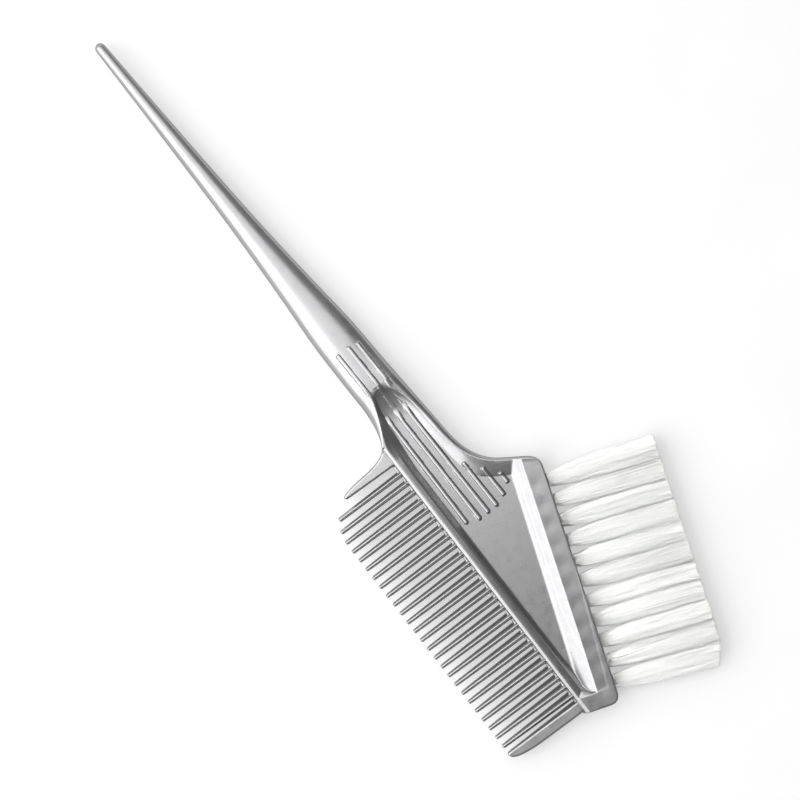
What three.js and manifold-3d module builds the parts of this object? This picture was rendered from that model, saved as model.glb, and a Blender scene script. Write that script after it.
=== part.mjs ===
// Salon tint brush: a pointed tail handle that widens into a flat head, with a comb along one
// edge of the head and a thick bar that holds a row of bristle tufts along the other edge.
//
// Millimetres. X runs from the tail tip along the handle, Y towards the bristles, Z up through
// the thickness, and z = 0 is the mid-plane, about which both faces are alike. At the end the
// whole brush is moved so that its origin is below the centre of its box, on the surface it lies on.
import * as THREE from "three";
import { mergeVertices } from "three/addons/utils/BufferGeometryUtils.js";
import Module from "manifold-3d";

const manifoldLibrary = await Module();
manifoldLibrary.setup();

const clearance = 0.3; // left between neighbouring solids
const degrees = Math.PI / 180;

// Handle: half-widths at a few places along it, round at the tail and flatter at the neck.
const tailTipRadius = 1.4;
const tailTipFlat = 0.3; // the very end is a small flat, this share of the tip's width
const handleHalfWidths = [[0, 1.4], [32, 2.35], [64, 3.6], [85, 4.95], [100, 6.1], [112, 6.4], [130, 6.7]];
const handleLength = 130; // its end lies inside the head
const handleStations = [
  0, 0.12, 0.5, 1.4, 12, 32, 48, 64, 74, 82, 90, 97, 103, 107, 110, 113, 116, 119, handleLength,
];
const handleSides = 24;
const headStart = 117; // where the head's plate begins, inside the handle
const neckThicknessRatio = 0.55; // thickness over width at the neck; 1 at the tail
const flatteningSpan = [20, 104]; // where the round tail turns into the flat neck
const squaringSpan = [60, 106]; // where its sides become fuller than an ellipse
const neckSquareness = 2.1; // exponent of the neck's superellipse; the tail's is 2
const headSquareness = 2.5; // the same where the neck turns into the head
const headFullAt = 150; // where the head has its full thickness and its edges are no longer round

// Sleeve that trims the head's plate: how far it reaches from the handle's axis towards the
// bristles and towards the comb. It rounds the edges at the neck and opens wide further on.
const sleeveReach = [
  [headStart, 6.44, 6.44], [124, 6.9, 7], [130, 7.3, 9], [136, 8.2, 14], [142, 10.5, 25],
  [headFullAt, 200, 200], [225, 200, 200],
];
const sleeveSides = 96;

// Outlines are given as steps: a line to [x, y], or a curve to it that is pulled towards a
// corner, [cornerX, cornerY, x, y].
const neckHalfWidth = 6.4;
const rimSteps = [[139, 7.3], [148.4, 7.6, 153, 13.1]]; // outer rim, from the neck to the bar
const neckSteps = [[129.5, -6.9, 120, -6.45]]; // from the inner guard's root back to the neck

// Bar: a straight thick edge, given by its two sharp corners before they are rounded.
const barTop = new THREE.Vector2(159.6, 22.2);
const barAngle = -20.9 * degrees;
const barLength = 68.9;
const barThickness = 8;
const barEndDepth = 10.3; // how far the bar's end runs back to the comb's spine
const barCornerRadius = 3;
const edgeRounding = 0.8; // of the head's edges, on both faces

// Web: the thin sunken middle of the head, with sloping walls, a thumb scoop and raised ribs.
const webThickness = 3.4;
const webFloorStart = [126, 0];
const webFloorSteps = [
  [126, 2.6, 131, 3.2], [140, 4], [149.5, 4.8, 153, 8], [158.2, 13.9],
  [213.4, -6.9], [214, -7.7], [150, -6], [126, -5.4, 126, 0],
];
const recessWallWidth = 2.3;
const scoop = { x: 130, y: -0.4, halfLength: 13.5, halfWidth: 6, height: 3 };
const ribWidth = 1.2;
const ribHeight = 0.45;
const webRibs = [
  [129, -3.2, 161, -4.1], [126.5, -0.1, 162.4, -0.7], [127.5, 2.7, 162.4, 2.2],
  [148.6, 5.25, 162.4, 5.1], [152.9, 8.35, 161.4, 8.35], [156.8, 11.2, 159.4, 11.25],
];
const neckRibs = [[105.5, -2.7, 121, -2.8], [105.5, 0.9, 121, 0.6], [106, 3.7, 121, 3.3]];

// Comb: spine along the head's lower edge, teeth hanging from it, a broad guard at each end.
const combStart = new THREE.Vector2(137.3, -10); // first gap's root, at the inner guard
const spineBevel = 1.5; // of the spine's lower edge on both faces, at 45 degrees
const combAngle = -1.44 * degrees;
const toothLean = 0.9 * degrees; // teeth lean this much from square to the spine
const toothCount = 26;
const firstToothAt = 2.5; // along the spine from combStart
const toothPitch = 2.98;
const toothLength = 22.5;
const toothWidth = 1.55;
const toothTipWidth = 1.2;
const toothThickness = 6;
const toothTipThickness = 1.4;
const toothTipRounding = 0.5;
const toothTipTurns = [0, 45, 70]; // degrees round the rounded tip at which its rings stand
const toothSquareness = 2.4;
const toothSides = 8;
const combCorner = { centre: 10, radius: 12 }; // rounds off the row of tips at its inner end
const guardThickness = 6;
const guardTipThickness = 2.4;
const guardRounding = 0.3;
const innerGuardRoot = [-4.8, 0]; // along the spine from combStart
const innerGuardSteps = [[134.2, -12.4, 134.3, -17.5]]; // its outer side, from the root down
const innerGuardTip = { along: -0.9, corner: [134.4, -22.5], outwards: 0.75, inwards: 0.5, height: 0.7 };
const outerGuardRoot = [79.25, 82.5];
const outerGuardTip = { width: 1.1, shoulder: 0.6, sideHeight: 9 };

// Bristles: tufts in blind holes along the bar, each folded over a small metal anchor.
const tuftCount = 11;
const firstTuftAt = 7; // along the bar from barTop
const tuftPitch = 5.64;
const tuftAngle = 67.1 * degrees;
const tuftRadius = 1.8;
const tuftFreeLength = 30.6;
const tuftRootDepth = 6;
const tuftSpreadAt = 12; // height at which a tuft has spread as wide as its pitch allows
const tuftTipHalfThickness = 2.9;
const tuftSides = 12;
const lastTuftCut = 2.2; // the last tuft's outer side is this much shorter
const anchorSize = { along: 0.4, deep: 1.8, across: 5 };
const anchorDepth = 4.1; // of its middle, below the bar's edge

const combDirection = new THREE.Vector2(Math.cos(combAngle), Math.sin(combAngle));
const barDirection = new THREE.Vector2(Math.cos(barAngle), Math.sin(barAngle));
const toothAngle = combAngle - 90 * degrees - toothLean;
const toothDirection = new THREE.Vector2(Math.cos(toothAngle), Math.sin(toothAngle));

// ---- Materials

function silverPlastic() {
  return new THREE.MeshStandardMaterial({ color: 0xa4a5a8, roughness: 0.3, metalness: 0.35 });
}

function nylonBristle() {
  return new THREE.MeshStandardMaterial({ color: 0xf0f0ea, roughness: 0.55, metalness: 0 });
}

function anchorWire() {
  return new THREE.MeshStandardMaterial({ color: 0xb89a55, roughness: 0.35, metalness: 1 });
}

// ---- Solids from three.js geometry, cut and joined

function toSolid(geometry) {
  const bare = geometry.clone();
  bare.deleteAttribute("normal");
  bare.deleteAttribute("uv");
  const welded = mergeVertices(bare, 1e-4);
  return new manifoldLibrary.Manifold(new manifoldLibrary.Mesh({
    numProp: 3,
    vertProperties: new Float32Array(welded.attributes.position.array),
    triVerts: new Uint32Array(welded.index.array),
  }));
}

function toGeometry(solid) {
  const mesh = solid.getMesh();
  const geometry = new THREE.BufferGeometry();
  geometry.setAttribute("position", new THREE.BufferAttribute(new Float32Array(mesh.vertProperties), 3));
  geometry.setIndex(new THREE.BufferAttribute(new Uint32Array(mesh.triVerts), 1));
  geometry.computeVertexNormals();
  return geometry;
}

// A rod along +X whose rings are placed and shaped by section(ring), which gives
// { x, halfWidth, halfThickness } for ring 0 to ringCount, and if need be the exponent of its
// superellipse and how far its middle is shifted sideways.
function rod(ringCount, sides, section) {
  const geometry = new THREE.CylinderGeometry(1, 1, ringCount, sides, ringCount);
  const position = geometry.attributes.position;
  for (let i = 0; i < position.count; i += 1) {
    const across = position.getZ(i);
    const up = position.getX(i);
    const ring = Math.round(position.getY(i) + ringCount / 2);
    const { x, halfWidth, halfThickness, squareness = 2, shift = 0 } = section(ring);
    const size = (Math.abs(across) ** squareness + Math.abs(up) ** squareness) ** (1 / squareness);
    const shrink = size > 0 ? 1 / size : 0;
    position.setXYZ(i, x, shift + across * shrink * halfWidth, up * shrink * halfThickness);
  }
  return geometry;
}

// A flat plate of the given shape, centred on z = 0, with its edges rounded off inside the shape.
function roundedPlate(shape, thickness, rounding, curveSegments) {
  const geometry = new THREE.ExtrudeGeometry(shape, {
    depth: thickness - 2 * rounding,
    bevelThickness: rounding,
    bevelSize: rounding,
    bevelOffset: -rounding,
    bevelSegments: 2,
    curveSegments,
  });
  return geometry.translate(0, 0, rounding - thickness / 2);
}

// Carries a shape's outline on through the given steps.
function draw(shape, steps) {
  for (const step of steps) {
    if (step.length === 2) {
      shape.lineTo(...step);
    } else {
      shape.quadraticCurveTo(...step);
    }
  }
}

// A bar of round-ended outline from (x0, y0) to (x1, y1), centred on z = 0.
function stadium([x0, y0, x1, y1], width, thickness) {
  const angle = Math.atan2(y1 - y0, x1 - x0);
  const shape = new THREE.Shape();
  shape.absarc(x1, y1, width / 2, angle - Math.PI / 2, angle + Math.PI / 2, false);
  shape.absarc(x0, y0, width / 2, angle + Math.PI / 2, angle + (3 * Math.PI) / 2, false);
  const options = { depth: thickness, bevelEnabled: false, curveSegments: 5 };
  return new THREE.ExtrudeGeometry(shape, options).translate(0, 0, -thickness / 2);
}

function between(span, x) {
  return THREE.MathUtils.smoothstep(x, span[0], span[1]);
}

// ---- Handle and head

const handleWidthPoints = handleHalfWidths.map(([x, half]) => new THREE.Vector2(x, half));
const handleWidthCurve = new THREE.SplineCurve(handleWidthPoints);

function handleHalfWidth(x) {
  let low = 0;
  let high = 1;
  for (let step = 0; step < 24; step += 1) {
    const middle = (low + high) / 2;
    if (handleWidthCurve.getPoint(middle).x < x) {
      low = middle;
    } else {
      high = middle;
    }
  }
  return handleWidthCurve.getPoint(low).y;
}

function handleSection(x, swelling) {
  const intoTip = Math.min(x / tailTipRadius, 1);
  const tipRounding = Math.max(Math.sqrt(1 - (1 - intoTip) ** 2), tailTipFlat);
  const halfWidth = handleHalfWidth(x) * tipRounding;
  const halfThickness = halfWidth * THREE.MathUtils.lerp(1, neckThicknessRatio, between(flatteningSpan, x));
  const neckFullness = THREE.MathUtils.lerp(2, neckSquareness, between(squaringSpan, x));
  const intoHead = between([neckRibs[0][0], headStart], x);
  const squareness = THREE.MathUtils.lerp(neckFullness, headSquareness, intoHead);
  return { x, halfWidth: halfWidth + swelling, halfThickness: halfThickness + swelling, squareness };
}

function handle(swelling = 0) {
  const section = (ring) => handleSection(handleStations[ring], swelling);
  return rod(handleStations.length - 1, handleSides, section);
}

function neckSleeve() {
  const neckHalfThickness = handleHalfWidth(headStart) * neckThicknessRatio;
  return rod(sleeveReach.length - 1, sleeveSides, (ring) => {
    const [x, towardsBristles, towardsComb] = sleeveReach[ring];
    const thickening = between([headStart, headFullAt], x);
    return {
      x,
      halfWidth: (towardsBristles + towardsComb) / 2,
      halfThickness: THREE.MathUtils.lerp(neckHalfThickness, barThickness / 2 + edgeRounding, thickening),
      squareness: headSquareness,
      shift: (towardsBristles - towardsComb) / 2,
    };
  });
}

function barPoint(along, back) {
  const inward = new THREE.Vector2(barDirection.y, -barDirection.x);
  return barTop.clone().addScaledVector(barDirection, along).addScaledVector(inward, back);
}

function combPoint(along, down) {
  return combStart.clone().addScaledVector(combDirection, along).addScaledVector(toothDirection, down);
}

// Outline of the head: neck, outer rim, bar, bar end and the spine's lower edge.
function headShape() {
  const rimFoot = new THREE.Vector2(...rimSteps.at(-1).slice(-2));
  const towardsBar = barTop.clone().sub(rimFoot).normalize();
  const cornerStart = barTop.clone().addScaledVector(towardsBar, -barCornerRadius);
  const shape = new THREE.Shape();
  shape.moveTo(headStart, neckHalfWidth);
  draw(shape, [
    ...rimSteps,
    [...cornerStart],
    [...barTop, ...barPoint(barCornerRadius, 0)],
    [...barPoint(barLength - barCornerRadius, 0)],
    [...barPoint(barLength, 0), ...barPoint(barLength, barCornerRadius)],
    [...barPoint(barLength, barEndDepth)],
    [...combPoint(innerGuardRoot[0], 0)],
    ...neckSteps,
  ]);
  shape.lineTo(headStart, -neckHalfWidth);
  shape.closePath();
  return shape;
}

// Floor of the sunken web on one face; the walls slope outwards from it up to that face.
function webRecess() {
  const shape = new THREE.Shape();
  shape.moveTo(...webFloorStart);
  draw(shape, webFloorSteps);
  const wallHeight = (barThickness - webThickness) / 2;
  return new THREE.ExtrudeGeometry(shape, {
    depth: 1,
    bevelThickness: wallHeight,
    bevelSize: recessWallWidth,
    bevelSegments: 1,
    curveSegments: 6,
  }).translate(0, 0, barThickness / 2);
}

// The thumb scoop: a long shallow hollow that runs from the neck down into the web.
function thumbScoop() {
  const geometry = new THREE.SphereGeometry(1, 32, 16).scale(scoop.halfLength, scoop.halfWidth, scoop.height);
  return geometry.translate(scoop.x, scoop.y, webThickness / 2 + scoop.height);
}

// Cuts the spine's lower edge off at 45 degrees, on the upper face (side 1) or the lower (-1).
function bevelSpine(body, side) {
  const normal = new THREE.Vector3(-combDirection.y, combDirection.x, -side).normalize();
  const edge = new THREE.Vector3(combStart.x, combStart.y + spineBevel, (side * barThickness) / 2);
  return body.trimByPlane(normal.toArray(), normal.dot(edge));
}

function tuftHole(index) {
  const depth = tuftRootDepth + clearance;
  const overshoot = 3;
  const radius = tuftRadius + clearance;
  const geometry = new THREE.CylinderGeometry(radius, radius, depth + overshoot, 16);
  geometry.translate(0, (overshoot - depth) / 2, 0).rotateZ(tuftAngle - 90 * degrees);
  const mouth = barPoint(firstTuftAt + index * tuftPitch, 0);
  return geometry.translate(mouth.x, mouth.y, 0);
}

function anchorBlock(margin) {
  const { along, deep, across } = anchorSize;
  return new THREE.BoxGeometry(deep + 2 * margin, along + 2 * margin, across + 2 * margin);
}

function handleBody() {
  const head = toSolid(roundedPlate(headShape(), barThickness, edgeRounding, 8));
  let body = toSolid(handle()).add(head.intersect(toSolid(neckSleeve())));
  body = bevelSpine(bevelSpine(body, 1), -1);
  const recess = toSolid(webRecess());
  const hollow = toSolid(thumbScoop());
  const hollowBelow = hollow.mirror([0, 0, 1]);
  for (const cutter of [recess, hollow, recess.mirror([0, 0, 1]), hollowBelow]) {
    body = body.subtract(cutter);
  }
  for (const rib of webRibs) {
    body = body.add(toSolid(stadium(rib, ribWidth, webThickness + 2 * ribHeight)));
  }
  const neckSkin = toSolid(handle(ribHeight)).subtract(hollow).subtract(hollowBelow);
  for (const rib of neckRibs) {
    body = body.add(toSolid(stadium(rib, ribWidth, barThickness)).intersect(neckSkin));
  }
  for (let index = 0; index < tuftCount; index += 1) {
    const slot = anchorBlock(clearance);
    placeOnTuftAxis(slot, index, -anchorDepth);
    body = body.subtract(toSolid(tuftHole(index))).subtract(toSolid(slot));
  }
  return new THREE.Mesh(toGeometry(body), silverPlastic());
}

// ---- Comb

function tipShortening(along) {
  const short = Math.max(combCorner.centre - along, 0);
  return combCorner.radius - Math.sqrt(combCorner.radius ** 2 - short ** 2);
}

function combTooth(along) {
  const length = toothLength - tipShortening(along) - clearance;
  const tipRings = toothTipTurns.map((turn) => ({
    x: length - toothTipRounding * (1 - Math.sin(turn * degrees)),
    fullness: Math.cos(turn * degrees),
  }));
  const rings = [{ x: 0, fullness: 1 }, { x: length / 2, fullness: 1 }, ...tipRings];
  const geometry = rod(rings.length - 1, toothSides, (ring) => {
    const { x, fullness } = rings[ring];
    return {
      x,
      halfWidth: (THREE.MathUtils.lerp(toothWidth, toothTipWidth, x / length) / 2) * fullness,
      halfThickness: (THREE.MathUtils.lerp(toothThickness, toothTipThickness, x / length) / 2) * fullness,
      squareness: toothSquareness,
    };
  });
  const mesh = new THREE.Mesh(geometry, silverPlastic());
  const root = combPoint(along, clearance);
  mesh.position.set(root.x, root.y, 0);
  mesh.rotation.z = toothAngle;
  return mesh;
}

// A guard of the given outline, thinned from the spine towards the tips of the teeth.
function guardPlate(shape) {
  const geometry = roundedPlate(shape, guardThickness, guardRounding, 4);
  const position = geometry.attributes.position;
  const place = new THREE.Vector2();
  for (let i = 0; i < position.count; i += 1) {
    place.set(position.getX(i), position.getY(i)).sub(combStart);
    const down = THREE.MathUtils.clamp(place.dot(toothDirection) / toothLength, 0, 1);
    const thinning = THREE.MathUtils.lerp(1, guardTipThickness / guardThickness, down);
    position.setZ(i, position.getZ(i) * thinning);
  }
  geometry.computeVertexNormals();
  return new THREE.Mesh(geometry, silverPlastic());
}

// Guard at the neck end: its outer side carries the neck's curve on down to a narrow tip.
function innerGuard() {
  const { along, corner, outwards, inwards, height } = innerGuardTip;
  const tip = combPoint(along, toothLength - tipShortening(along));
  const shape = new THREE.Shape();
  shape.moveTo(...combPoint(innerGuardRoot[1], clearance));
  shape.lineTo(...combPoint(innerGuardRoot[0], clearance));
  draw(shape, innerGuardSteps);
  shape.quadraticCurveTo(...corner, tip.x - outwards, tip.y + height);
  shape.quadraticCurveTo(tip.x, tip.y - height, tip.x + inwards, tip.y + height);
  shape.closePath();
  return guardPlate(shape);
}

// Guard at the bar end: a plain broad tooth with a rounded outer corner.
function outerGuard() {
  const [left, right] = outerGuardRoot;
  const { width, shoulder, sideHeight } = outerGuardTip;
  const tip = combPoint(left + width, toothLength);
  const bulge = combPoint(right, toothLength - shoulder);
  const shape = new THREE.Shape();
  shape.moveTo(...combPoint(left, clearance));
  shape.lineTo(...combPoint(left, toothLength - shoulder));
  shape.quadraticCurveTo(...combPoint(left, toothLength + shoulder), ...tip);
  shape.quadraticCurveTo(...bulge, ...combPoint(right, toothLength - sideHeight));
  shape.lineTo(...combPoint(right, clearance));
  shape.closePath();
  return guardPlate(shape);
}

// ---- Bristles

function placeOnTuftAxis(geometry, index, height) {
  const mouth = barPoint(firstTuftAt + index * tuftPitch, 0);
  return geometry.translate(height, 0, 0).rotateZ(tuftAngle).translate(mouth.x, mouth.y, 0);
}

function bristleTuft(index) {
  const stations = [-tuftRootDepth, 0, tuftSpreadAt / 2, tuftSpreadAt, 0.7 * tuftFreeLength, tuftFreeLength];
  const pitchHalfWidth = (tuftPitch - clearance) / 2;
  const outerCut = index === tuftCount - 1 ? lastTuftCut : 0;
  const geometry = rod(stations.length - 1, tuftSides, (ring) => {
    const x = stations[ring];
    return {
      x,
      halfWidth: THREE.MathUtils.lerp(tuftRadius, pitchHalfWidth, between([0, tuftSpreadAt], x)),
      halfThickness: THREE.MathUtils.lerp(tuftRadius, tuftTipHalfThickness, Math.max(x, 0) / tuftFreeLength),
    };
  });
  shortenOuterSide(geometry, pitchHalfWidth, outerCut);
  placeOnTuftAxis(geometry, index, 0);
  const slot = placeOnTuftAxis(anchorBlock(clearance), index, -anchorDepth);
  const solid = toSolid(geometry).subtract(toSolid(slot));
  return new THREE.Mesh(toGeometry(solid), nylonBristle());
}

// Slants a tuft's tip so that its side away from the handle ends lower by the cut.
function shortenOuterSide(geometry, halfWidth, cut) {
  const position = geometry.attributes.position;
  for (let i = 0; i < position.count; i += 1) {
    if (position.getX(i) > tuftFreeLength - 0.01) {
      const outwards = (halfWidth - position.getY(i)) / (2 * halfWidth);
      position.setX(i, position.getX(i) - cut * outwards);
    }
  }
}

function tuftAnchor(index) {
  return new THREE.Mesh(placeOnTuftAxis(anchorBlock(0), index, -anchorDepth), anchorWire());
}

// ---- The brush

const brush = new THREE.Group();

function addPart(name, mesh) {
  mesh.name = name;
  brush.add(mesh);
}

function numbered(name, index) {
  return `${name}_${String(index + 1).padStart(2, "0")}`;
}

addPart("handle_body", handleBody());
addPart("comb_guard_inner", innerGuard());
for (let index = 0; index < toothCount; index += 1) {
  addPart(numbered("comb_tooth", index), combTooth(firstToothAt + index * toothPitch));
}
addPart("comb_guard_outer", outerGuard());
for (let index = 0; index < tuftCount; index += 1) {
  addPart(numbered("bristle_tuft", index), bristleTuft(index));
  addPart(numbered("tuft_anchor", index), tuftAnchor(index));
}

const box = new THREE.Box3().setFromObject(brush, true);
const centre = box.getCenter(new THREE.Vector3());
brush.position.set(-centre.x, -centre.y, -box.min.z);

export default brush;
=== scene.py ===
"""Looks of the tint brush: one seamless silver-grey moulding, eleven tufts of nylon filament and
their metal anchors, lying on a pale floor under soft studio light.

Shapes are worked out in millimetres in the same layout as the CAD model: X from the tail tip
along the handle, Y towards the bristles, z = 0 on the mid-plane. They are moved into the row
frame, in metres, when a mesh is made."""

import math

import bpy
import numpy as np
import openvdb
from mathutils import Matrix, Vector


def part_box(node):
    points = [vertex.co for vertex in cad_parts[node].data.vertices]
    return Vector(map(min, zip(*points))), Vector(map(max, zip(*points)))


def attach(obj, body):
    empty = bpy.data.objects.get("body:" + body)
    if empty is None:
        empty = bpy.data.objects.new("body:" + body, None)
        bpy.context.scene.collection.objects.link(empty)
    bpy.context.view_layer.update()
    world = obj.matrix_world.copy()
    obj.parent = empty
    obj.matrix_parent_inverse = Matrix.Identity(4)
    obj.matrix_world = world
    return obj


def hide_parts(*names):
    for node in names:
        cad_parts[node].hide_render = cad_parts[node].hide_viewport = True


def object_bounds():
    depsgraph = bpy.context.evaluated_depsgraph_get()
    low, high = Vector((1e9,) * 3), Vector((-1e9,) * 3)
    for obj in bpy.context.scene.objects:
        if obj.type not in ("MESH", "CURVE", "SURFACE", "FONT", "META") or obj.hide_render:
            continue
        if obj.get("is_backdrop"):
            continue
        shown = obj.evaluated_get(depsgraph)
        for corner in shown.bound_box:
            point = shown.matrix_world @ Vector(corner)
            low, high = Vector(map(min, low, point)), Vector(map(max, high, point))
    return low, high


MM = 0.001
TINY = 1e-9

# ---- Driving dimensions: the CAD model's, and those that only the fine surface has

HANDLE_HALF_WIDTHS = [(0, 1.4), (32, 2.35), (64, 3.6), (85, 4.95), (100, 6.1), (112, 6.4), (130, 6.7)]
TAIL_TIP_RADIUS = 1.4
NECK_THICKNESS_RATIO = 0.55
FLATTENING_SPAN = (20, 104)
SQUARING_SPAN = (60, 106)
NECK_SQUARENESS = 2.1
HEAD_SQUARENESS = 2.5
HEAD_START = 117
HEAD_BLEND_SPAN = (HEAD_START - 6, HEAD_START + 3)
RIB_START = 105.5
HEAD_SQUARING_SPAN = (RIB_START, HEAD_START + 1)

# Points of the head's outline: the neck's side, the bend from the rim up to the bar, and the nose
# of the spine, where its lower edge runs into the neck.
NECK_EDGE = [(100, 6.1), (112, 6.4)]
RIM_BEND = [(139, 7.3), (148.4, 7.6), (153, 13.1)]
SPINE_NOSE = [(129.5, -6.9), (120, -6.45)]

BAR_TOP = np.array([159.6, 22.2])
BAR_ANGLE = math.radians(-20.9)
BAR_LENGTH = 68.9
BAR_HALF_THICKNESS = 4.0
BAR_END_DEPTH = 10.3
BAR_CORNER_RADIUS = 3
CORNER_STEPS = 6
EDGE_ROUNDING = 0.5
SPINE_ROUNDING = 0.25
SINK_DEPTH = 0.1
SINK_RADIUS = 2
SINK_BEHIND_EDGE = 3.4

# The head's faces along X: height of the rim's crest, of the sunken floor (first the thumb
# scoop's ramp, then the web) and the radius of the rim's outer edge.
NECK_HALF_THICKNESS = 3.54
RIM_HEIGHTS = [(118, 3.54), (124, 3.1), (130, 2.8), (137, 2.95), (145, 2.8), (152, 2.65), (160, 2.6)]
FLOOR_HEIGHTS = [
    (118.2, 3.54), (119, 3.3), (120, 2.98), (121, 2.7), (122, 2.46), (124, 2.07),
    (126, 1.8), (128, 1.67), (131, 1.64), (137, 1.68), (150, 1.7), (215, 1.2),
]
RIM_ROUNDINGS = [(115, 3.4), (122, 2.6), (130, 2.0), (143, 1.6), (150, 1.2), (156, 0.9)]

# Stretches over which one form gives way to the next, along X.
SPINE_ROUNDING_SPAN = (121, 133)
SPINE_THICKENING_SPAN = (119, 137)
SPINE_WALL_SPAN = (130, 139)
RIM_WALL_SPAN = (141, 149)

# Stretches along Y and, the last one, inwards from the bar's edge.
SPINE_TO_RIM_SPAN = (-3, 1)
WALL_TO_RIM_SPAN = (-2.5, 1.5)
BAR_ROUNDING_SPAN = (6, 4)

# The bar's inner face, measured inwards from the bar's edge, and the spine's profile, measured
# up from the roots of the comb's gaps: bright ledge, crest and the wall down to the web.
FACET_CREST = 5.05
FACET_SLOPE = 0.68
LEDGE_START = 0.68
LEDGE_RISE_SPAN = (LEDGE_START - 0.15, LEDGE_START + 0.1)
LEDGE_LEFT_END = 132
SPINE_CREST = 1.62
LEDGE_SLOPE = 0.6
SPINE_FOOT = 5.0
COMB_ROOT_HEIGHT = 2.5

# How the walls round the web climb: shares of the way across against shares of the height, and
# the powers that do the same for the rim's wall before and after RIM_WALL_SPAN.
LEAST_WALL_WIDTH = 0.2
SPINE_WALL = [(0, 0), (0.1, 0.04), (0.2, 0.2), (0.5, 0.75), (0.72, 0.88), (1, 1)]
RIM_WALL_POWERS = (1.5, 0.8)

# The grip ribs, and the share of their height that they lose on the scoop's ramp.
RIB_HALF_WIDTH = 0.62
RIB_HEIGHT = 0.35
RIB_FADE = 0.85
RIB_FADE_SPANS = [(116.5, 121), (129, 125.5)]

# The comb: along runs from its inner end to its outer end, down from the roots of its gaps.
COMB_START = np.array([137.3, -10.0])
COMB_ANGLE = math.radians(-1.44)
TOOTH_LEAN = math.radians(0.4)
TOOTH_COUNT = 26
FIRST_TOOTH_AT = 2.75
TOOTH_PITCH = 2.98
TOOTH_LENGTH = 22.5
COMB_CORNER_CENTRE = 10
COMB_CORNER_RADIUS = 12
COMB_HALF_THICKNESS = 3.1
COMB_TIP_HALF_THICKNESS = 0.7
COMB_OVERLAP = 1.5
TOOTH_ROOF_SLOPE = 1.2
TOOTH_HALF_WIDTHS = (0.92, 0.72)
TOOTH_HALF_RIDGES = (0.16, 0.2)
TOOTH_END_RADIUS = 0.55

GUARD_WIDTH = 4.8
GUARD_ROUNDING = 0.55
GUARD_TIP_HALF_THICKNESS = 1.2
INNER_GUARD_BACK = [(134.2, -12.4), (134.3, -17.5), (134.4, -22.5)]
INNER_GUARD_TIP_AT = -0.9
INNER_GUARD_TIP = [(-0.75, 0.7), (-0.2, -0.5), (0.5, 0.7)]
OUTER_GUARD_SIDES = (79.25, 82.5)
OUTER_GUARD_TIP = [(0, -0.6), (0, 0.5), (1.1, 0)]
OUTER_GUARD_SLANT = [(-0.2, -0.6), (0, -9)]

# Widths over which corners between two surfaces are rounded.
WEB_FILLET = 0.4
RECESS_FILLET = 0.2
LEDGE_FILLET = 0.1
TOOTH_FLANK_FILLET = 0.15
TOOTH_RIDGE_FILLET = 0.12
TOOTH_END_FILLET = 0.25
COMB_FILLET = 0.2
HOLE_FILLET = 0.15

# Fields of steep faces rise faster than distance does; these bring them back to about its rate.
STEEP_FACE_SCALE = 0.7
TOOTH_END_SCALE = 0.9

TUFT_COUNT = 11
FIRST_TUFT_AT = 7
TUFT_PITCH = 5.64
TUFT_ANGLE = math.radians(67.1)
TUFT_FREE_LENGTH = 30.6
HOLE_RADIUS = 2.1
HOLE_DEPTH = 6.3
ANCHOR_DEPTH = 4.1


def direction(angle):
    return np.array([math.cos(angle), math.sin(angle)])


BAR_ALONG = direction(BAR_ANGLE)
BAR_INWARD = np.array([BAR_ALONG[1], -BAR_ALONG[0]])
COMB_ALONG = direction(COMB_ANGLE)
TOOTH_DOWN = direction(COMB_ANGLE - math.pi / 2 - TOOTH_LEAN)
TUFT_UP = direction(TUFT_ANGLE)
TUFT_ACROSS = direction(TUFT_ANGLE - math.pi / 2)


def bar_point(along, back=0.0):
    return BAR_TOP + along * BAR_ALONG + back * BAR_INWARD


def comb_point(along, down):
    return COMB_START + along * COMB_ALONG + down * TOOTH_DOWN


def tuft_mouth(index):
    return bar_point(FIRST_TUFT_AT + index * TUFT_PITCH)


# ---- Small functions for curves and fields


def smoothstep(low, high, value):
    t = np.clip((value - low) / (high - low), 0, 1)
    return t * t * (3 - 2 * t)


def mix(a, b, t):
    return a + (b - a) * t


def smooth_min(a, b, width):
    """The lower of a and b, with the corner between them rounded over width."""
    overlap = np.maximum(width - np.abs(a - b), 0) / width
    return np.minimum(a, b) - overlap * overlap * width / 4


def smooth_max(a, b, width):
    return -smooth_min(-a, -b, width)


def curve_through(points, x):
    """Height at x of the Catmull-Rom curve through points, which are ordered by x."""
    px = np.array([p[0] for p in points], dtype=float)
    py = np.array([p[1] for p in points], dtype=float)
    slope = np.gradient(py, px)
    i = np.clip(np.searchsorted(px, x) - 1, 0, len(px) - 2)
    step = px[i + 1] - px[i]
    t = np.clip((x - px[i]) / step, 0, 1)
    start = (1 + 2 * t) * (1 - t) ** 2 * py[i] + t * (1 - t) ** 2 * step * slope[i]
    end = t * t * (3 - 2 * t) * py[i + 1] + t * t * (t - 1) * step * slope[i + 1]
    beyond = np.maximum(x - px[-1], 0) * slope[-1] + np.minimum(x - px[0], 0) * slope[0]
    return start + end + beyond


def bend(start, corner, end, steps=10):
    """Points of the quadratic curve from start to end that is pulled towards corner."""
    t = np.linspace(0, 1, steps + 1)[:, None]
    return list((1 - t) ** 2 * np.array(start) + 2 * t * (1 - t) * np.array(corner) + t * t * np.array(end))


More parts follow.
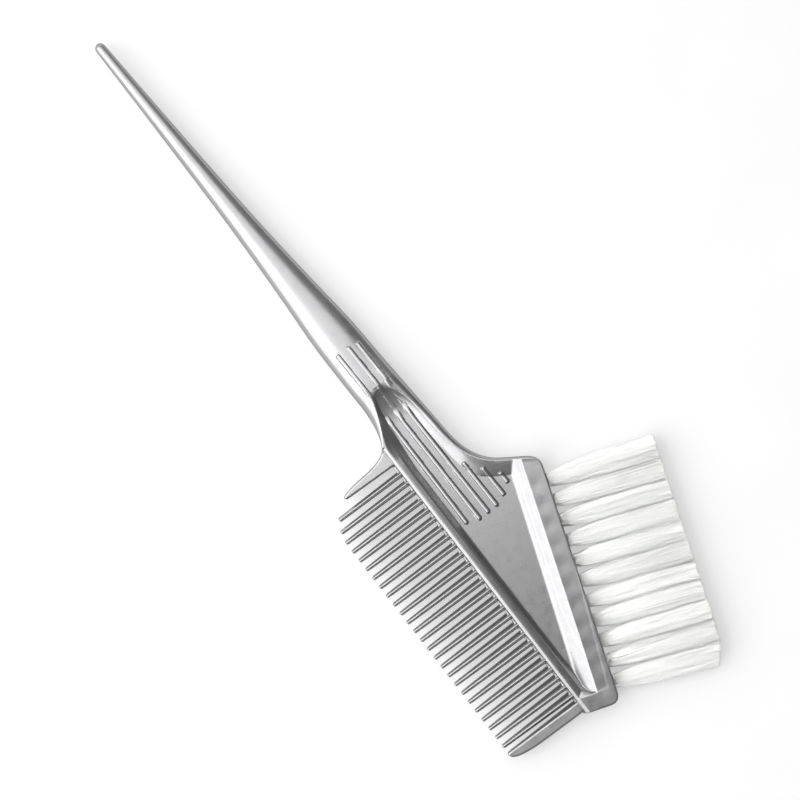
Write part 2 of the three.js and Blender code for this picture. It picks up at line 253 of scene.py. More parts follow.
def curve_by(points, steps=6):
    """Points of the Catmull-Rom curve through points, from the first to the last."""
    given = [np.array(p, dtype=float) for p in points]
    padded = [2 * given[0] - given[1]] + given + [2 * given[-1] - given[-2]]
    curve = []
    for a, b, c, d in zip(padded, padded[1:], padded[2:], padded[3:]):
        for t in np.arange(steps) / steps:
            bent = (2 * a - 5 * b + 4 * c - d) * t * t + (3 * b - a - 3 * c + d) * t**3
            curve.append(b + 0.5 * ((c - a) * t + bent))
    return curve + [given[-1]]


def as_floats(points):
    return [tuple(map(float, p)) for p in points]


def segment_square(start, end, x, y):
    """Square of the distance from (x, y) to the straight segment from start to end."""
    ex, ey = end[0] - start[0], end[1] - start[1]
    t = np.clip(((x - start[0]) * ex + (y - start[1]) * ey) / (ex * ex + ey * ey), 0, 1)
    return (x - start[0] - t * ex) ** 2 + (y - start[1] - t * ey) ** 2


def outline_distance(points, x, y):
    """Signed distance from (x, y) to a closed outline, negative inside."""
    nearest = np.full(np.broadcast(x, y).shape, np.inf)
    inside = np.zeros(nearest.shape, dtype=bool)
    for (x0, y0), (x1, y1) in zip(points, points[1:] + points[:1]):
        nearest = np.minimum(nearest, segment_square((x0, y0), (x1, y1), x, y))
        if y0 != y1:
            inside ^= ((y0 > y) != (y1 > y)) & (x < x0 + (y - y0) * (x1 - x0) / (y1 - y0))
    return np.where(inside, -1, 1) * np.sqrt(nearest)


def path_distance(points, x, y):
    """Distance from (x, y) to an open path."""
    nearest = np.full(np.broadcast(x, y).shape, np.inf)
    for start, end in zip(points, points[1:]):
        nearest = np.minimum(nearest, segment_square(start, end, x, y))
    return np.sqrt(nearest)


def line_distance(origin, along, x, y):
    """Signed distance from a line, positive on the left of its direction."""
    return (y - origin[1]) * along[0] - (x - origin[0]) * along[1]


def rounded_plate(past_outline, past_face, rounding):
    """Field of a plate with a rounded edge, from the distances past its outline and its face."""
    beyond_edge = past_outline + rounding
    beyond_face = past_face + rounding
    corner = np.sqrt(np.maximum(beyond_edge, 0) ** 2 + np.maximum(beyond_face, 0) ** 2)
    return corner - rounding + np.minimum(np.maximum(beyond_edge, beyond_face), 0)


# ---- The moulding, as a field that is negative inside it


def handle_field(x, y, z):
    """The handle: a rod, round at the tail, that flattens and squares up towards the neck."""
    into_tip = np.clip(x / TAIL_TIP_RADIUS, 0, 1)
    bluntness = 0.02
    tip = np.sqrt(np.maximum(1 - (1 - into_tip) ** 2, bluntness))
    half_width = curve_through(HANDLE_HALF_WIDTHS, x) * tip
    into_head = smoothstep(*HEAD_SQUARING_SPAN, x)
    half_thickness = half_width * mix(1, NECK_THICKNESS_RATIO, smoothstep(*FLATTENING_SPAN, x))
    square = mix(mix(2, NECK_SQUARENESS, smoothstep(*SQUARING_SPAN, x)), HEAD_SQUARENESS, into_head)
    across = (np.abs(y) / half_width) ** square
    up = (z / half_thickness) ** square
    field = ((across + up) ** (1 / square) - 1) * half_thickness
    return np.maximum(field, -x)


def head_outline():
    """Neck, outer rim, bar, bar end and the spine's lower edge."""
    rim_foot = np.array(RIM_BEND[-1])
    towards_bar = (BAR_TOP - rim_foot) / np.linalg.norm(BAR_TOP - rim_foot)
    guard_root = comb_point(-GUARD_WIDTH, 0)
    end = BAR_LENGTH
    r = BAR_CORNER_RADIUS
    points = NECK_EDGE + bend(*RIM_BEND)
    points += bend(BAR_TOP - r * towards_bar, BAR_TOP, bar_point(r), CORNER_STEPS)
    points += bend(bar_point(end - r), bar_point(end), bar_point(end, r), CORNER_STEPS)
    points += [bar_point(end, BAR_END_DEPTH)] + bend(guard_root, *SPINE_NOSE)
    points += [(x, -y) for x, y in reversed(NECK_EDGE)]
    return as_floats(points)


def inwards_from_bar(x, y):
    return -line_distance(BAR_TOP, BAR_ALONG, x, y)


def above_roots(x, y):
    return line_distance(COMB_START, COMB_ALONG, x, y)


def plate_rounding(x, y):
    """Radius of the head's edge: full and round at the neck, small along the bar and the comb."""
    rim = np.clip(curve_through(RIM_ROUNDINGS, x), EDGE_ROUNDING, RIM_ROUNDINGS[0][1])
    beside_bar = smoothstep(*BAR_ROUNDING_SPAN, inwards_from_bar(x, y))
    upper = mix(rim, EDGE_ROUNDING, beside_bar)
    lower = mix(RIM_ROUNDINGS[0][1], SPINE_ROUNDING, smoothstep(*SPINE_ROUNDING_SPAN, x))
    return np.where(y > 0, upper, np.where(beside_bar > 0, EDGE_ROUNDING, lower))


def sink_marks(x, y):
    """Depth of the faint hollows that the plastic's shrinking leaves over the tuft holes."""
    depth = np.zeros(np.broadcast(x, y).shape)
    for index in range(TUFT_COUNT):
        px, py = tuft_mouth(index) - SINK_BEHIND_EDGE * TUFT_UP
        depth = depth + np.exp(-((x - px) ** 2 + (y - py) ** 2) / SINK_RADIUS**2)
    return SINK_DEPTH * depth


def facet_height(x, y):
    """Height of the bar's face and of the slanted inner face that runs down from it."""
    return BAR_HALF_THICKNESS - FACET_SLOPE * np.maximum(inwards_from_bar(x, y) - FACET_CREST, 0)


def face_height(x, y):
    """Height of the head's outer faces: rim, spine and bar, before the web is sunk into them."""
    rim = curve_through(RIM_HEIGHTS, np.clip(x, RIM_HEIGHTS[0][0], RIM_HEIGHTS[-1][0]))
    spine = mix(NECK_HALF_THICKNESS, BAR_HALF_THICKNESS, smoothstep(*SPINE_THICKENING_SPAN, x))
    sides = mix(spine, rim, smoothstep(*SPINE_TO_RIM_SPAN, y))
    return np.maximum(sides, facet_height(x, y)) - sink_marks(x, y)


def plate_field(x, y, z):
    """The head as a plate with rounded edges."""
    past_outline = outline_distance(head_outline(), x, y)
    return rounded_plate(past_outline, z - face_height(x, y), plate_rounding(x, y))


def along_spine(x, above):
    """A point at x which lies this far above the roots of the comb's gaps."""
    return (x, COMB_START[1] + above + (x - COMB_START[0]) * math.tan(COMB_ANGLE))


def recess_mouth():
    """Crest line round the sunken web and the thumb scoop; on the bar's side it lies outside."""
    neck = [(136.5, -8.62), (133.5, -8.25), (130.9, -7.4), (128, -6.15), (125, -4.8), (122, -3.5)]
    scoop = [(119.6, -2.6), (118.4, -1.6), (118.2, -0.4), (118.3, 0.9), (119.3, 2.0), (121.4, 3.4)]
    rim = [(125.2, 4.7), (130, 5.25), (137, 5.5), (143.7, 6.4), (147.8, 7.55), (151.2, 9.7), (153.7, 12.6)]
    outside = [(158.4, 19.2), (161, 23), (218.6, -2.5), (217.6, -6.2), along_spine(216, SPINE_CREST)]
    return as_floats(curve_by(neck + scoop + rim)) + outside


def recess_floor():
    """Foot of the walls round the web and the scoop's ramp."""
    neck = [along_spine(142, SPINE_FOOT), (137, -4.6), (131, -4.0), (127, -3.5), (124.5, -3.1), (122, -2.6)]
    scoop = [(120.2, -1.9), (119.3, -0.5), (119.4, 0.6), (120.5, 1.4), (122.4, 2.3), (125, 2.9)]
    rim = [(130, 3.2), (137, 3.1), (143, 3.5), (148.5, 4.4), (152.9, 6.0), (155.6, 8.5), (157.7, 11.6)]
    outside = [(162.2, 18.6), (164, 21), (217, -3.2), (216.7, -6.5), along_spine(215.4, SPINE_FOOT)]
    return as_floats(curve_by(neck + scoop + rim)) + outside


def recess_height(x, y):
    """Height of the web and of the walls that rise from it; above the faces beyond its mouth."""
    past_floor = outline_distance(recess_floor(), x, y)
    past_mouth = outline_distance(recess_mouth(), x, y)
    wall_width = np.maximum(past_floor - past_mouth, LEAST_WALL_WIDTH)
    up_wall = np.clip(np.maximum(past_floor, 0) / wall_width, 0, 1)
    spine_wall = mix(up_wall, curve_through(SPINE_WALL, up_wall), smoothstep(*SPINE_WALL_SPAN, x))
    rim_wall = up_wall ** mix(*RIM_WALL_POWERS, smoothstep(*RIM_WALL_SPAN, x))
    climb = mix(spine_wall, rim_wall, smoothstep(*WALL_TO_RIM_SPAN, y))
    web = curve_through(FLOOR_HEIGHTS, np.maximum(x, FLOOR_HEIGHTS[0][0]))
    walls = mix(web, face_height(x, y), climb) + np.maximum(past_mouth, 0)
    return smooth_max(walls, facet_height(x, y), WEB_FILLET)


def ledge_height(x, y):
    """Height of the bevelled ledge along the spine's lower edge, where the teeth begin."""
    above = above_roots(x, y)
    ledge = BAR_HALF_THICKNESS - LEDGE_SLOPE * (SPINE_CREST - above)
    return mix(COMB_ROOT_HEIGHT, ledge, smoothstep(*LEDGE_RISE_SPAN, above))


RIBS = [
    [(RIB_START, -2.7), (119, -2.7), (130, -3.2), (161, -4.1)],
    [(RIB_START, 0.9), (119, 0.8), (130, -0.2), (162.4, -0.7)],
    [(106, 3.7), (118, 3.5), (130, 2.6), (162.4, 2.2)],
    [(148.6, 5.25), (162.4, 5.1)],
    [(152.9, 8.35), (161.4, 8.35)],
    [(156.8, 11.2), (159.4, 11.25)],
]


def rib_relief(x, y):
    """How far the grip ribs stand out of the surface they run over; they fade on the scoop's ramp."""
    relief = np.zeros(np.broadcast(x, y).shape)
    ramp_start, ramp_end = RIB_FADE_SPANS
    on_ramp = smoothstep(*ramp_start, x) * smoothstep(*ramp_end, x)
    for path in RIBS:
        across = path_distance(path, x, y) / RIB_HALF_WIDTH
        relief = np.maximum(relief, np.sqrt(np.maximum(1 - across * across, 0)))
    return relief * RIB_HEIGHT * (1 - RIB_FADE * on_ramp)


def tip_shortening(along):
    """How much shorter the comb is at a place along it, as its inner corner is rounded off."""
    short = np.maximum(COMB_CORNER_CENTRE - along, 0)
    return COMB_CORNER_RADIUS - np.sqrt(np.maximum(COMB_CORNER_RADIUS**2 - short**2, 0))


def teeth_field(x, y, z):
    """All the comb's teeth at once: across is measured from the nearest tooth's middle line."""
    cell_area = COMB_ALONG[0] * TOOTH_DOWN[1] - COMB_ALONG[1] * TOOTH_DOWN[0]
    dx = x - COMB_START[0]
    dy = y - COMB_START[1]
    along = (dx * TOOTH_DOWN[1] - dy * TOOTH_DOWN[0]) / cell_area
    down = (COMB_ALONG[0] * dy - COMB_ALONG[1] * dx) / cell_area
    index = np.clip(np.round((along - FIRST_TOOTH_AT) / TOOTH_PITCH), 0, TOOTH_COUNT - 1)
    middle = FIRST_TOOTH_AT + index * TOOTH_PITCH
    length = TOOTH_LENGTH - tip_shortening(middle)
    towards_tip = np.clip(down / TOOTH_LENGTH, 0, 1)
    half_width = mix(*TOOTH_HALF_WIDTHS, towards_tip)
    half_ridge = mix(*TOOTH_HALF_RIDGES, towards_tip)
    half_thickness = mix(COMB_HALF_THICKNESS, COMB_TIP_HALF_THICKNESS, towards_tip)
    across = np.abs(along - middle)
    roof = z - half_thickness + TOOTH_ROOF_SLOPE * (across - half_ridge)
    into_end = np.maximum(down - length + TOOTH_END_RADIUS, 0)
    rounded_end = np.sqrt(across**2 + into_end**2) - half_width
    end = np.maximum(rounded_end * TOOTH_END_SCALE, down - length)
    roof = roof / math.hypot(1, TOOTH_ROOF_SLOPE)
    field = smooth_max(roof, across - half_width, TOOTH_FLANK_FILLET)
    field = smooth_max(field, z - half_thickness, TOOTH_RIDGE_FILLET)
    field = smooth_max(field, end, TOOTH_END_FILLET)
    return np.maximum(field, -COMB_OVERLAP - down)


def inner_guard_outline():
    """The guard beside the neck: a horn that curves down from the spine to a rounded tip."""
    root = comb_point(-GUARD_WIDTH, 0)
    shoulder, waist, flank = INNER_GUARD_BACK
    end = comb_point(INNER_GUARD_TIP_AT, TOOTH_LENGTH - float(tip_shortening(INNER_GUARD_TIP_AT)))
    tip_start, tip_corner, tip_end = [end + np.array(offset) for offset in INNER_GUARD_TIP]
    points = [comb_point(0, -COMB_OVERLAP), comb_point(-GUARD_WIDTH, -COMB_OVERLAP)]
    points += bend(root, shoulder, waist)
    points += bend(waist, flank, tip_start)[1:]
    points += bend(tip_start, tip_corner, tip_end, CORNER_STEPS)[1:]
    return as_floats(points)


def outer_guard_outline():
    """The guard at the comb's outer end: a blade, straight inside and slanting in at its tip."""
    left, right = OUTER_GUARD_SIDES
    tip = [comb_point(left + along, TOOTH_LENGTH + down) for along, down in OUTER_GUARD_TIP]
    slant = [comb_point(right + along, TOOTH_LENGTH + down) for along, down in OUTER_GUARD_SLANT]
    points = [comb_point(left, -COMB_OVERLAP)]
    points += bend(*tip, CORNER_STEPS)
    points += bend(tip[-1], *slant)[1:]
    points += [comb_point(right, -COMB_OVERLAP)]
    return as_floats(points)


def guard_field(outline, x, y, z):
    """One guard: a plate with this outline, thinner towards its tip."""
    down = line_distance(COMB_START, -COMB_ALONG, x, y) / TOOTH_LENGTH
    half_thickness = mix(COMB_HALF_THICKNESS, GUARD_TIP_HALF_THICKNESS, np.clip(down, 0, 1))
    return rounded_plate(outline_distance(outline, x, y), z - half_thickness, GUARD_ROUNDING)


def hole_field(index, x, y, z):
    """One tuft hole; z is across it, and the hole runs back from the bar's edge."""
    mouth = tuft_mouth(index)
    across = (x - mouth[0]) * TUFT_ACROSS[0] + (y - mouth[1]) * TUFT_ACROSS[1]
    up = (x - mouth[0]) * TUFT_UP[0] + (y - mouth[1]) * TUFT_UP[1]
    return np.maximum(np.sqrt(across**2 + z**2) - HOLE_RADIUS, -HOLE_DEPTH - up)


def moulding_field(x, y, z):
    """The whole moulding's upper half, z being the height above the mid-plane."""
    handle = handle_field(x, y, z)
    body = mix(handle, plate_field(x, y, z), smoothstep(*HEAD_BLEND_SPAN, x))
    body = smooth_max(body, (z - recess_height(x, y)) * STEEP_FACE_SCALE, RECESS_FILLET)
    ledge = ledge_height(x, y) + np.maximum(LEDGE_LEFT_END - x, 0)
    body = smooth_max(body, (z - ledge) * STEEP_FACE_SCALE, LEDGE_FILLET)
    body = body - rib_relief(x, y)
    comb = teeth_field(x, y, z)
    for outline in (inner_guard_outline(), outer_guard_outline()):
        comb = np.minimum(comb, guard_field(outline, x, y, z))
    body = smooth_min(body, comb, COMB_FILLET)
    for index in range(TUFT_COUNT):
        body = smooth_max(body, -hole_field(index, x, y, z), HOLE_FILLET)
    return body


# ---- Meshes

# The grid on which the moulding's field is worked out, and how far its surface is thinned.
MOULDING_STEP = 0.22
MOULDING_TRIANGLES = 200000
GRID_X = (-1.25, 225)
GRID_Y = (-36, 23.6)
GRID_SPARE_HEIGHT = 1
BAND_STEPS = 3
NORMAL_REACH = 0.06


def layout_offset():
    """What to add to a layout position, in metres, to get its place in the row frame."""
    low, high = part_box("tuft_anchor_01")
    anchor = tuft_mouth(0) - ANCHOR_DEPTH * TUFT_UP
    middle = (np.array(low) + np.array(high)) / 2
    return middle - np.array([anchor[0], anchor[1], 0]) * MM


def new_object(name, data):
    obj = bpy.data.objects.new(name, data)
    bpy.context.scene.collection.objects.link(obj)
    return obj


def mesh_points(mesh):
    flat = np.empty(len(mesh.vertices) * 3, dtype=np.float32)
    mesh.vertices.foreach_get("co", flat)
    return flat.reshape(-1, 3).astype(float)


def moulding_normals(points):
    """Directions in which the moulding's field rises fastest, which are its surface's normals."""
    slopes = []
    for reach in NORMAL_REACH * np.eye(3):
        x, y, z = (points + reach).T
        ahead = moulding_field(x, y, np.abs(z))
        x, y, z = (points - reach).T
        slopes.append(ahead - moulding_field(x, y, np.abs(z)))
    normals = np.stack(slopes, axis=1)
    return normals / np.maximum(np.linalg.norm(normals, axis=1, keepdims=True), TINY)


def moulding_surface():
    """Points and quads where the field is zero; its upper half is worked out and mirrored."""
    step = MOULDING_STEP
    x = np.arange(*GRID_X, step)
    y = np.arange(*GRID_Y, step)
    z = np.arange(step / 2, BAR_HALF_THICKNESS + GRID_SPARE_HEIGHT, step)
    half = moulding_field(x[:, None, None], y[None, :, None], z[None, None, :])
    whole = np.concatenate([half[:, :, ::-1], half], axis=2)
    band = BAND_STEPS * step
    grid = openvdb.FloatGrid(background=band)
    grid.copyFromArray(np.ascontiguousarray(np.clip(whole, -band, band), dtype=np.float32))
    points, quads = grid.convertToQuads(isovalue=0.0)
    return points * step + np.array([x[0], y[0], -z[-1]]), quads


def make_moulding(offset):
    """The moulding as a mesh thinned to its triangle count, shaded with the field's normals."""
    points, quads = moulding_surface()
    mesh = bpy.data.meshes.new("brush_moulding")
    mesh.from_pydata(points.tolist(), [], quads.tolist())
    moulding = new_object("brush_moulding", mesh)
    thin = moulding.modifiers.new("thin", "DECIMATE")
    thin.ratio = MOULDING_TRIANGLES / (2 * len(quads))
    evaluated = moulding.evaluated_get(bpy.context.evaluated_depsgraph_get())
    thinned = bpy.data.meshes.new_from_object(evaluated)
    moulding.modifiers.clear()
    moulding.data = thinned
    points = mesh_points(thinned)
    thinned.vertices.foreach_set("co", (points * MM + offset).ravel())
    thinned.shade_smooth()
    thinned.normals_split_custom_set_from_vertices(moulding_normals(points).tolist())
    thinned.update()
    return moulding


# ---- The bristles

TUFT_SEED = 4100
TUFT_TIP_HALF_WIDTH = 3.4
TUFT_TIP_HALF_THICKNESS = 2.3
TUFT_ROOT_RADIUS = 1.7
FILAMENTS_PER_TUFT = 400
FILAMENT_RADII = (0.055, 0.08)
FILAMENT_SIDES = 4
FILAMENT_END_TAPER = 0.55
LAST_TUFT_CUT = 2.2

# Rings of each half of a filament: heights below the hole's mouth, then shares of the free length.
RING_DEPTHS = [-4.6, -2.4]
RING_SHARES = [0.0, 0.07, 0.15, 0.25, 0.36, 0.48, 0.6, 0.72, 0.83, 0.92, 0.985]

# A tuft opens quickly above the hole and slowly further up; the two shares add up to 1.
QUICK_OPENING = 14
QUICK_SHARE = 0.7
SLOW_SHARE = 0.3

# The fold round the anchor, drawn in FOLD_STEPS steps, and how the two halves part above it.
FOLD_DEPTH = 5.1
FOLD_RADIUS = 0.8
FOLD_STEPS = 4
ANCHOR_HALF_GAP = 0.25
PARTING_SPAN = (-2.5, 1.0)

# How far single filaments and whole tufts stray; the outermost tufts lean outwards.
SWAY = 0.17
SWAY_POWER = 1.5
CURL = 0.07
CUT_SPREAD = 0.3
TUFT_FLARE = {0: -1.6, 1: -0.5, TUFT_COUNT - 1: 0.9}
FLARE_SPREAD = 0.25
FLARE_EASE = 0.6


def leg_heights(length):
    """Heights above the hole's mouth at which a filament's rings stand, from its fold to its tip."""
    free = length[:, None] * np.array(RING_SHARES)[None, :]
    below = np.broadcast_to(RING_DEPTHS, (len(length), len(RING_DEPTHS)))
    return np.concatenate([below, free, length[:, None]], axis=1)


def spread(height):
    """How far a tuft has opened from its root at a height, from 0 to 1."""
    quick = np.clip(height / QUICK_OPENING, 0, 1)
    slow = np.clip(height / TUFT_FREE_LENGTH, 0, 1)
    return QUICK_SHARE * quick * (2 - quick) + SLOW_SHARE * slow


def leg_path(rng, place, flare, length):
    """Places along one half of each filament: across the tuft, along it, and out of the plane."""
    height = leg_heights(length)
    side = np.sign(place[:, :1])
    share = np.abs(place[:, :1])
    along = np.maximum(height / TUFT_FREE_LENGTH, 0)
    parted = ANCHOR_HALF_GAP * (1 - smoothstep(*PARTING_SPAN, height))
    half_width = mix(TUFT_ROOT_RADIUS, TUFT_TIP_HALF_WIDTH, spread(height))
    half_thick = mix(TUFT_ROOT_RADIUS, TUFT_TIP_HALF_THICKNESS, along)
    sway = rng.normal(0, SWAY, (2, len(length), 1)) * along**SWAY_POWER
    curl = rng.normal(0, CURL, (2, len(length), 1)) * np.sin(np.pi * along)
    lean = flare * along * (1 - FLARE_EASE * along)
    across = side * (parted + share * (half_width - parted)) + lean
    out = place[:, 1:] * half_thick
    return np.stack([across + sway[0] + curl[0], height, out + sway[1] + curl[1]], axis=2)


def tube_mesh(paths, radius):
    """Square tubes along paths, an array of (tube, ring, 3), with one radius for each tube."""
    tubes, rings, _ = paths.shape
    sides = FILAMENT_SIDES
    tangent = np.gradient(paths, axis=1)
    tangent /= np.linalg.norm(tangent, axis=2, keepdims=True)
    side = np.cross(tangent, [0.0, 0.0, 1.0])
    side /= np.maximum(np.linalg.norm(side, axis=2, keepdims=True), TINY)
    other = np.cross(tangent, side)
    taper = np.ones(rings)
    taper[[0, -1]] = FILAMENT_END_TAPER
    corners = []
    for turn in range(sides):
        angle = turn * 2 * math.pi / sides
        lean = math.cos(angle) * side + math.sin(angle) * other
        corners.append(paths + lean * radius[:, None, None] * taper[None, :, None])
    vertices = np.stack(corners, axis=2).reshape(-1, 3)
    ring_start = (np.arange(tubes)[:, None] * rings + np.arange(rings - 1)[None, :]).ravel() * sides
    faces = []
    for turn in range(sides):
        near = ring_start + turn
        far = ring_start + (turn + 1) % sides
        faces.append(np.stack([near, near + sides, far + sides, far], axis=1))
    first = np.arange(tubes) * rings * sides
    last = first + (rings - 1) * sides
    faces.append(np.stack([first + turn for turn in range(sides)], axis=1))
    faces.append(np.stack([last + turn for turn in reversed(range(sides))], axis=1))
    return vertices, np.concatenate(faces)


def fold_arcs(left, right):
    """Places along the fold of each filament, from its left half round the anchor to its right."""
    turned = np.linspace(0, math.pi, FOLD_STEPS + 1)[1:-1]
    turned_share = np.linspace(0, 1, FOLD_STEPS + 1)[1:-1]
    across = np.cos(math.pi - turned)[None, :] * FOLD_RADIUS
    height = -FOLD_DEPTH - FOLD_RADIUS * np.abs(left[:, :1]) * np.sin(turned)[None, :]
    out = mix(left[:, 1:], right[:, 1:], turned_share[None, :]) * TUFT_ROOT_RADIUS
    return np.stack([np.broadcast_to(across, height.shape), height, out], axis=2)


def tuft_paths(index, rng):
    """Paths of one tuft's filaments, folded in half so that each gives two bristles."""
    count = FILAMENTS_PER_TUFT
    turn = rng.uniform(-math.pi / 2, math.pi / 2, (2, count))
    distance = np.sqrt(rng.uniform(0, 1, (2, count)))
    left, right = np.stack([distance * np.cos(turn), distance * np.sin(turn)], axis=2)
    left = left * (-1, 1)
    flare = TUFT_FLARE.get(index, 0.0) + rng.normal(0, FLARE_SPREAD)
    halves = []
    for place in (left, right):
        length = TUFT_FREE_LENGTH - np.abs(rng.normal(0, CUT_SPREAD, count))
        if index == TUFT_COUNT - 1:
            length -= LAST_TUFT_CUT * (place[:, 0] + 1) / 2
        halves.append(leg_path(rng, place, flare, length))
    return np.concatenate([halves[0][:, ::-1], fold_arcs(left, right), halves[1]], axis=1)


def make_tuft(index, offset):
    """One tuft's filaments as tubes; the tint of each is kept as an attribute for its material."""
    rng = np.random.default_rng(TUFT_SEED + index)
    paths = tuft_paths(index, rng)
    radius = rng.uniform(*FILAMENT_RADII, FILAMENTS_PER_TUFT)
    vertices, faces = tube_mesh(paths, radius)
    mouth = tuft_mouth(index)
    x = mouth[0] + vertices[:, 0] * TUFT_ACROSS[0] + vertices[:, 1] * TUFT_UP[0]
    y = mouth[1] + vertices[:, 0] * TUFT_ACROSS[1] + vertices[:, 1] * TUFT_UP[1]
    placed = np.stack([x, y, vertices[:, 2]], axis=1)
    mesh = bpy.data.meshes.new(f"bristles_{index + 1:02d}")
    mesh.from_pydata((placed * MM + offset).tolist(), [], faces.tolist())
    mesh.shade_smooth()
    tints = rng.uniform(0, 1, FILAMENTS_PER_TUFT)
    tint = mesh.attributes.new("tint", "FLOAT", "POINT")
    tint.data.foreach_set("value", np.repeat(tints, paths.shape[1] * FILAMENT_SIDES))
    mesh.update()
    return new_object(f"bristles_{index + 1:02d}", mesh)


# ---- Materials

FLOW_DEPTH = 0.00006
GRAIN_DEPTH = 0.0000012
FLOOR_GLOW = 0.43


def new_material(name):
    material = bpy.data.materials.new(name)
    material.use_nodes = True
    tree = material.node_tree
    shader = next(node for node in tree.nodes if node.type == "BSDF_PRINCIPLED")
    return material, tree, shader


def noise(tree, scale, detail=3.0, stretch=(1, 1, 1)):
    """A noise pattern fixed to the object, stretched along the axes where stretch is under 1."""
    coordinates = tree.nodes.new("ShaderNodeTexCoord")
    mapping = tree.nodes.new("ShaderNodeMapping")
    mapping.inputs["Scale"].default_value = stretch
    texture = tree.nodes.new("ShaderNodeTexNoise")
    texture.inputs["Scale"].default_value = scale
    texture.inputs["Detail"].default_value = detail
    tree.links.new(coordinates.outputs["Object"], mapping.inputs["Vector"])
    tree.links.new(mapping.outputs["Vector"], texture.inputs["Vector"])
    return texture.outputs["Fac"]


def vary(tree, pattern, stops, socket):
    """Let a pattern drive a shader's socket between two stops, each a place and a value."""
    node = tree.nodes.new("ShaderNodeValToRGB")
    for element, (place, value) in zip(node.color_ramp.elements, stops):
        element.position = place
        element.color = (*value, 1) if isinstance(value, tuple) else (value, value, value, 1)
    tree.links.new(pattern, node.inputs["Fac"])
    tree.links.new(node.outputs["Color"], socket)


def bump(tree, source, depth, below=None):
    """Normals of a relief of this depth in metres, laid over the normals of another one."""
    node = tree.nodes.new("ShaderNodeBump")
    node.inputs["Distance"].default_value = depth
    tree.links.new(source, node.inputs["Height"])
    if below is not None:
        tree.links.new(below, node.inputs["Normal"])
    return node.outputs["Normal"]


def silver_plastic():
    """Grey plastic with a fine metallic pigment, moulded glossy, with faint flow waviness."""
    material, tree, shader = new_material("silver_plastic")
    flakes = noise(tree, 5200, detail=1.0)
    flow = noise(tree, 55, detail=2.0, stretch=(0.35, 1, 1))
    shades = [(0.35, (0.385, 0.385, 0.39)), (0.75, (0.46, 0.46, 0.467))]
    vary(tree, flakes, shades, shader.inputs["Base Color"])
    vary(tree, noise(tree, 400), [(0.3, 0.26), (0.7, 0.34)], shader.inputs["Roughness"])
    waves = bump(tree, flow, FLOW_DEPTH)
    grain = bump(tree, noise(tree, 2600, detail=2.0), GRAIN_DEPTH, below=waves)
    tree.links.new(grain, shader.inputs["Normal"])
    shader.inputs["Metallic"].default_value = 0.9
    shader.inputs["Specular Tint"].default_value = (0.25, 0.25, 0.25, 1)
    return material


def nylon():
    """Off-white nylon; each filament has its own slight tint."""
    material, tree, shader = new_material("bristle_nylon")
    tint = tree.nodes.new("ShaderNodeAttribute")
    tint.attribute_name = "tint"
    shades = [(0.0, (0.59, 0.59, 0.584)), (1.0, (0.63, 0.63, 0.623))]
    vary(tree, tint.outputs["Fac"], shades, shader.inputs["Base Color"])
    vary(tree, noise(tree, 900), [(0.3, 0.45), (0.7, 0.6)], shader.inputs["Roughness"])
    shader.subsurface_method = "BURLEY"
    shader.inputs["Subsurface Weight"].default_value = 1.0
    shader.inputs["Subsurface Radius"].default_value = (1, 1, 1)
    shader.inputs["Subsurface Scale"].default_value = 0.0015
    shader.inputs["Specular IOR Level"].default_value = 0.3
    return material


def anchor_brass():
    """Drawn brass wire with fine scratches along it."""
    material, tree, shader = new_material("anchor_brass")
    marks = noise(tree, 2500, stretch=(1, 1, 0.1))
    vary(tree, marks, [(0.3, (0.62, 0.47, 0.2)), (0.7, (0.78, 0.62, 0.32))], shader.inputs["Base Color"])
    vary(tree, marks, [(0.3, 0.25), (0.7, 0.45)], shader.inputs["Roughness"])
    shader.inputs["Metallic"].default_value = 1.0
    return material


def studio_floor():
    """A plain white sheet on a light table."""
    material, tree, shader = new_material("studio_floor")
    vary(tree, noise(tree, 30), [(0.3, 0.55), (0.7, 0.57)], shader.inputs["Base Color"])
    shader.inputs["Roughness"].default_value = 0.8
    shader.inputs["Specular IOR Level"].default_value = 0.1
    shader.inputs["Emission Color"].default_value = (1, 1, 1, 1)
    shader.inputs["Emission Strength"].default_value = FLOOR_GLOW
    return material


# ---- Studio

VIEW_TURN = math.radians(50.85)
VIEW_WIDTH = 0.2136
VIEW_CENTRE = (0.0079, -0.0046)
LENS = 100
SENSOR = 36
FLOOR_REACH = 2.5

WORLD_BRIGHT_SIDE = (-0.95, -0.31, 0)
WORLD_SPAN = (-0.3, 0.45)
WORLD_STRENGTHS = (0.13, 0.9)


def add_floor():
    mesh = bpy.data.meshes.new("floor")
    corners = [(-1, -1), (1, -1), (1, 1), (-1, 1)]
    mesh.from_pydata([(x * FLOOR_REACH, y * FLOOR_REACH, 0) for x, y in corners], [], [(0, 1, 2, 3)])
    floor = new_object("floor", mesh)
    floor.data.materials.append(studio_floor())
    floor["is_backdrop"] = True


def add_camera():
    """Straight above, turned so that the handle runs to the upper left."""
    data = bpy.data.cameras.new("camera")
    data.lens = LENS
    data.sensor_width = SENSOR
    camera = new_object("camera", data)
    low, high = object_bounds()
    middle = (Vector(low) + Vector(high)) / 2
    distance = VIEW_WIDTH * LENS / SENSOR
    camera.location = (middle.x + VIEW_CENTRE[0], middle.y + VIEW_CENTRE[1], middle.z + distance)
    camera.rotation_euler = (0, 0, VIEW_TURN)
    bpy.context.scene.camera = camera


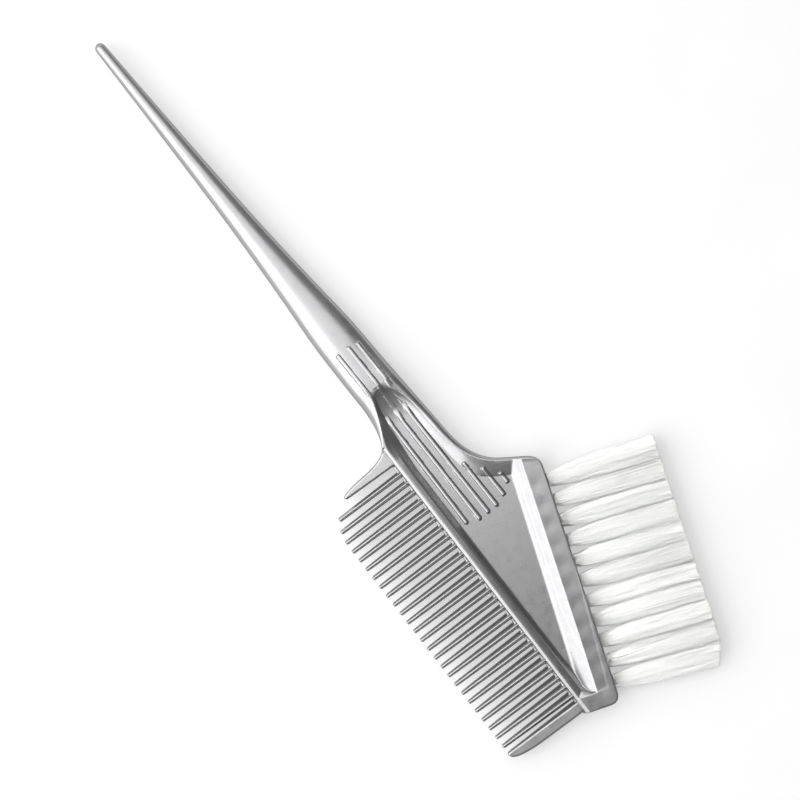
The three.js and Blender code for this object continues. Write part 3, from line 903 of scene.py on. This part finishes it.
def add_panel(name, towards, elevation, distance, size, strength):
    """A soft rectangular light that faces the object from a compass direction and elevation.

    The elevation is in degrees, the distance and size are in metres."""
    data = bpy.data.lights.new(name, "AREA")
    data.shape = "RECTANGLE"
    data.size, data.size_y = size
    data.energy = strength * size[0] * size[1] * math.pi
    panel = new_object(name, data)
    flat = Vector((towards[0], towards[1], 0)).normalized()
    up = math.radians(elevation)
    panel.location = distance * (math.cos(up) * flat + math.sin(up) * Vector((0, 0, 1)))
    panel.rotation_euler = panel.location.to_track_quat("Z", "Y").to_euler()


def add_world():
    """Soft surroundings, bright beyond the tail and dark beyond the bar."""
    world = bpy.data.worlds.new("studio")
    bpy.context.scene.world = world
    world.use_nodes = True
    tree = world.node_tree
    background = next(node for node in tree.nodes if node.type == "BACKGROUND")
    background.inputs["Color"].default_value = (1, 1, 1, 1)
    coordinates = tree.nodes.new("ShaderNodeTexCoord")
    dot = tree.nodes.new("ShaderNodeVectorMath")
    dot.operation = "DOT_PRODUCT"
    dot.inputs[1].default_value = WORLD_BRIGHT_SIDE
    fade = tree.nodes.new("ShaderNodeMapRange")
    fade.interpolation_type = "SMOOTHSTEP"
    for end, place, strength in zip(("Min", "Max"), WORLD_SPAN, WORLD_STRENGTHS):
        fade.inputs[f"From {end}"].default_value = place
        fade.inputs[f"To {end}"].default_value = strength
    tree.links.new(coordinates.outputs["Generated"], dot.inputs[0])
    tree.links.new(dot.outputs["Value"], fade.inputs["Value"])
    tree.links.new(fade.outputs["Result"], background.inputs["Strength"])


# ---- The scene


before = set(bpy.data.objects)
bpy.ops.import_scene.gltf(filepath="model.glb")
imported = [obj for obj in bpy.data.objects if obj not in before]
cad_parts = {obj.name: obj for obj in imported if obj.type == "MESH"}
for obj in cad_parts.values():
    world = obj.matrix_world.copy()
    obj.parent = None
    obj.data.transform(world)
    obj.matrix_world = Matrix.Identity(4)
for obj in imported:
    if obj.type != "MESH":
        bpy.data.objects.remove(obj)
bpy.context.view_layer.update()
OFFSET = layout_offset()

moulding = make_moulding(OFFSET)
moulding.data.materials.append(silver_plastic())
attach(moulding, "root")
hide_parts(*[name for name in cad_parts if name.startswith(("handle", "comb"))])

nylon_material = nylon()
brass_material = anchor_brass()
for number in range(TUFT_COUNT):
    tuft = make_tuft(number, OFFSET)
    tuft.data.materials.append(nylon_material)
    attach(tuft, "root")
    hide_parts(f"bristle_tuft_{number + 1:02d}")
    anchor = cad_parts[f"tuft_anchor_{number + 1:02d}"]
    anchor.data.materials.clear()
    anchor.data.materials.append(brass_material)

add_floor()
add_camera()
add_world()
add_panel("key", towards=(-0.34, -0.94), elevation=43, distance=0.7, size=(0.95, 0.66), strength=2.0)
add_panel("overhead", towards=(-1, 0), elevation=80.5, distance=0.8, size=(0.88, 0.49), strength=1.35)
bpy.context.scene.view_settings.view_transform = "Standard"
